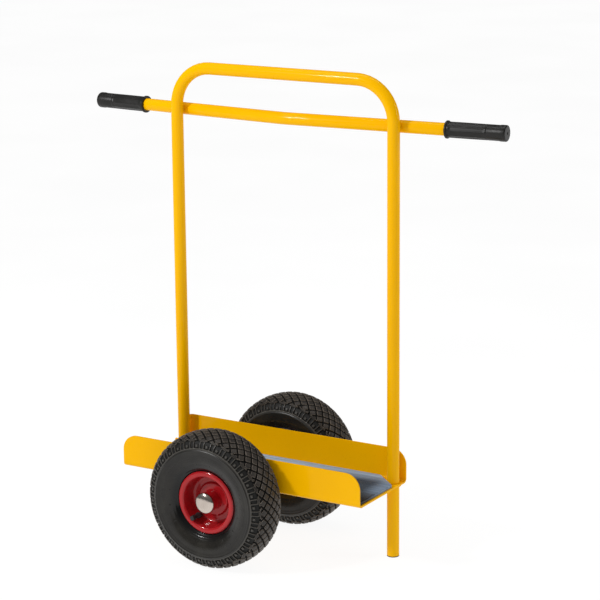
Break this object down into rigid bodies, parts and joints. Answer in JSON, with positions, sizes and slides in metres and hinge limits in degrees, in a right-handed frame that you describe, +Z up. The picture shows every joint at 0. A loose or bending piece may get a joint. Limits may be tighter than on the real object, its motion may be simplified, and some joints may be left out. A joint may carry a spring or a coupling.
{
  "type": "two-wheeled board trolley",
  "caption": "Push trolley with a bent tube frame, a cross handle with two grips and a folded channel between two pneumatic wheels, for moving boards and panels stood on edge.",
  "frame": {"origin": "on the ground, half way between the two wheels and half way between the two legs", "axes": "+X along the channel to the end where the long leg stands, +Y to the side where the frame stands, +Z up"},
  "size_m": [0.8772, 0.366, 0.9],
  "materials": {
    "frame_yellow": "smooth glossy yellow powder coat",
    "rim_red": "glossy red paint on pressed steel",
    "tyre": "dull dark rubber with a block tread",
    "tube_rubber": "smooth butyl rubber",
    "valve_rubber": "smooth black rubber",
    "mat_rubber": "fine lengthwise ribs, dull sheen",
    "grip_rubber": "satin moulded grip with long ribs",
    "foot_plastic": "plain moulded plastic",
    "zinc": "bright zinc plate",
    "cap_nickel": "polished nickel plate"
  },
  "bodies": {
    "root": {"push_frame": "frame_yellow", "foot_plug": "foot_plastic", "handle_bar": "frame_yellow", "left_grip": "grip_rubber", "right_grip": "grip_rubber", "load_channel": "frame_yellow", "rubber_mat": "mat_rubber", "axle": "zinc", "left_handle_weld": "frame_yellow", "left_leg_weld": "frame_yellow", "left_axle_weld": "frame_yellow", "right_handle_weld": "frame_yellow", "right_leg_weld": "frame_yellow", "right_axle_weld": "frame_yellow", "front_spacer": "zinc", "front_inner_washer": "zinc", "front_outer_washer": "zinc", "front_axle_cap": "cap_nickel", "rear_spacer": "zinc", "rear_inner_washer": "zinc", "rear_outer_washer": "zinc", "rear_axle_cap": "cap_nickel"},
    "front_wheel": {"front_tyre": "tyre", "front_inner_tube": "tube_rubber", "front_rim_outer_half": "rim_red", "front_rim_inner_half": "rim_red", "front_hub_tube": "rim_red", "front_outer_bearing": "zinc", "front_inner_bearing": "zinc", "front_valve_stem": "valve_rubber", "front_valve_cap": "valve_rubber"},
    "rear_wheel": {"rear_tyre": "tyre", "rear_inner_tube": "tube_rubber", "rear_rim_outer_half": "rim_red", "rear_rim_inner_half": "rim_red", "rear_hub_tube": "rim_red", "rear_outer_bearing": "zinc", "rear_inner_bearing": "zinc", "rear_valve_stem": "valve_rubber", "rear_valve_cap": "valve_rubber"}
  },
  "joints": [
    {"name": "front_wheel_spin", "type": "hinge", "parent": "root", "child": "front_wheel", "pos_m": [-0.0285, -0.139, 0.1295], "axis": [0, 1, 0], "continuous": true},
    {"name": "rear_wheel_spin", "type": "hinge", "parent": "root", "child": "rear_wheel", "pos_m": [-0.0285, 0.139, 0.1295], "axis": [0, 1, 0], "continuous": true}
  ]
}
